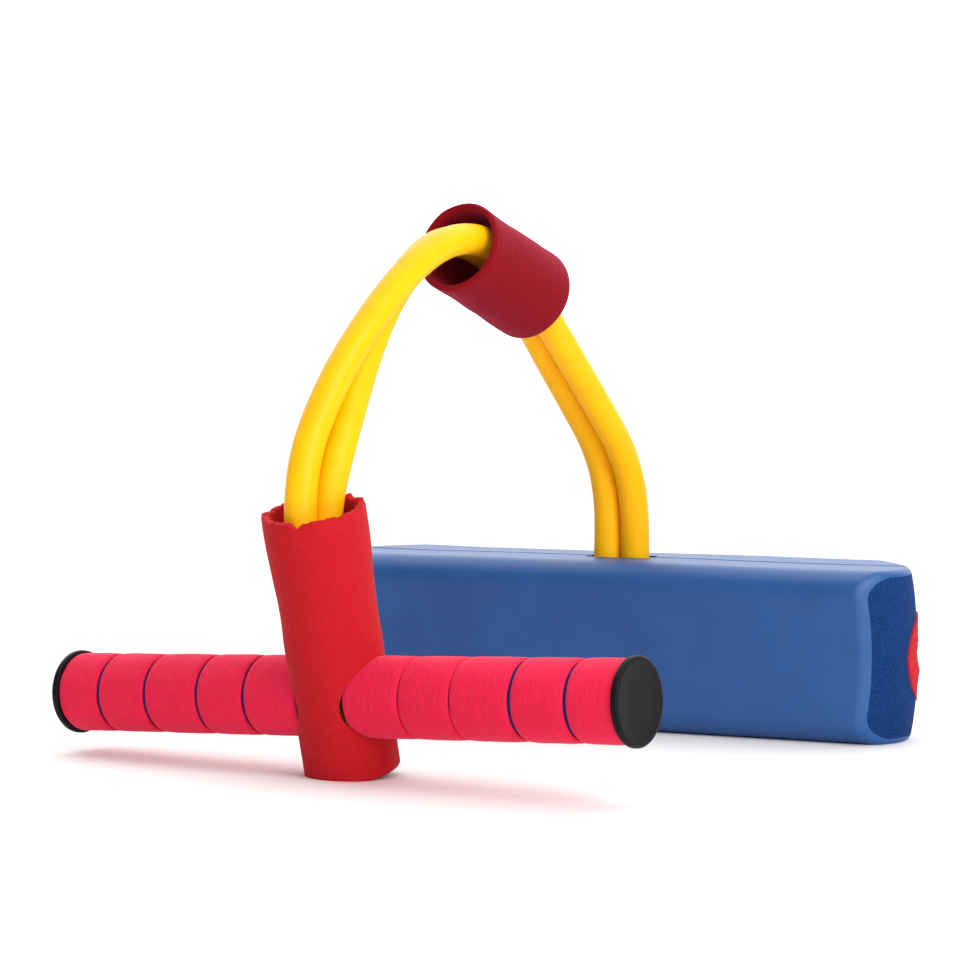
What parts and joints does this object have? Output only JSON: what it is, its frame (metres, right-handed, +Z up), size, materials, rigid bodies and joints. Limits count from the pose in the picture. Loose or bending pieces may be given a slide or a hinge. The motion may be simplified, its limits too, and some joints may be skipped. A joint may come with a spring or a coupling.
{
  "type": "pogo stick",
  "caption": "Soft jumping toy: a foam block to stand on, a thick stretchy rubber ring rising from it, and a foam-gripped handlebar at the ring's far end.",
  "frame": {"origin": "centre of the foam block's underside, on the floor", "axes": "+X along the foam block, +Z up, the handlebar lies towards -Y"},
  "size_m": [0.3839, 0.342, 0.2787],
  "materials": {
    "blue_foam": "matte",
    "red_foam": "matte",
    "slider_foam": "matte",
    "pink_foam": "matte",
    "core_foam": "matte",
    "ring_rubber": "satin",
    "tube_plastic": "satin",
    "cap_plastic": "satin",
    "squeaker_plastic": "satin"
  },
  "bodies": {
    "base": {"foam_block": "blue_foam", "anchor_tube": "tube_plastic", "anchor_sleeve_left": "red_foam", "anchor_sleeve_right": "red_foam", "squeaker_bellows": "squeaker_plastic", "squeaker_reed": "squeaker_plastic", "ring_anchor_bend": "ring_rubber"},
    "leg_foot": {"ring_leg_foot": "ring_rubber"},
    "leg_rise": {"ring_leg_rise": "ring_rubber"},
    "under_slider": {"ring_under_slider": "ring_rubber"},
    "crown": {"ring_crown": "ring_rubber"},
    "drop_upper": {"ring_drop_upper": "ring_rubber"},
    "drop_lower": {"ring_drop_lower": "ring_rubber"},
    "hub": {"hub_sleeve": "red_foam", "ring_handle_bend": "ring_rubber"},
    "slider": {"slider_sleeve": "slider_foam"},
    "handlebar": {"bar_tube": "tube_plastic", "grip_core_left": "core_foam", "grip_core_right": "core_foam", "grip_ring_left_1": "pink_foam", "grip_ring_left_2": "pink_foam", "grip_ring_left_3": "pink_foam", "grip_ring_left_4": "pink_foam", "grip_ring_left_5": "pink_foam", "grip_ring_right_1": "pink_foam", "grip_ring_right_2": "pink_foam", "grip_ring_right_3": "pink_foam", "grip_ring_right_4": "pink_foam", "grip_ring_right_5": "pink_foam", "end_cap_left": "cap_plastic", "end_cap_right": "cap_plastic"}
  },
  "joints": [
    {"name": "ring_stretch", "type": "slide", "parent": "base", "child": "leg_foot", "axis": [0, 0, 1], "range_m": [0, 0.25], "stiffness_N_per_m": 150, "deforming": ["ring_anchor_bend", "ring_leg_foot"]},
    {"name": "arch_unroll", "type": "hinge", "parent": "leg_foot", "child": "leg_rise", "pos_m": [-0.00084, -0.00461, 0.13341], "axis": [-0.9839, 0.1788, 0], "range_deg": [0, 45], "stiffness_Nm_per_rad": 0.6, "deforming": ["ring_leg_rise"]},
    {"name": "unroll_under_slider", "type": "hinge", "parent": "leg_rise", "child": "under_slider", "pos_m": [-0.01537, -0.08459, 0.22211], "axis": [-0.9839, 0.1788, 0], "range_deg": [0, 18], "deforming": ["ring_under_slider"]},
    {"name": "unroll_crown", "type": "hinge", "parent": "under_slider", "child": "crown", "pos_m": [-0.02709, -0.14909, 0.25918], "axis": [-0.9839, 0.1788, 0], "range_deg": [0, 54], "deforming": ["ring_crown"]},
    {"name": "unroll_drop_upper", "type": "hinge", "parent": "crown", "child": "drop_upper", "pos_m": [-0.03532, -0.19434, 0.24176], "axis": [-0.9839, 0.1788, 0], "range_deg": [0, 20], "deforming": ["ring_drop_upper"]},
    {"name": "unroll_drop_lower", "type": "hinge", "parent": "drop_upper", "child": "drop_lower", "pos_m": [-0.04438, -0.2442, 0.18696], "axis": [-0.9839, 0.1788, 0], "range_deg": [0, 24], "deforming": ["ring_drop_lower"]},
    {"name": "unroll_hub", "type": "hinge", "parent": "drop_lower", "child": "hub", "pos_m": [-0.04872, -0.26812, 0.1327], "axis": [-0.9839, 0.1788, 0], "range_deg": [0, 31], "deforming": ["ring_handle_bend"]},
    {"name": "slider_slide", "type": "slide", "parent": "under_slider", "child": "slider", "axis": [-0.168, -0.9245, 0.342], "range_m": [-0.012, 0.012]},
    {"name": "bar_spin", "type": "hinge", "parent": "hub", "child": "handlebar", "pos_m": [-0.04494, -0.24727, 0.03884], "axis": [0.9854, -0.1614, 0.0541], "continuous": true}
  ],
  "couplings": [
    {"joint": "unroll_under_slider", "follows": "arch_unroll", "ratio": 0.4},
    {"joint": "unroll_crown", "follows": "arch_unroll", "ratio": 1.2},
    {"joint": "unroll_drop_upper", "follows": "arch_unroll", "ratio": 0.44444},
    {"joint": "unroll_drop_lower", "follows": "arch_unroll", "ratio": 0.53333},
    {"joint": "unroll_hub", "follows": "arch_unroll", "ratio": 0.68889}
  ]
}
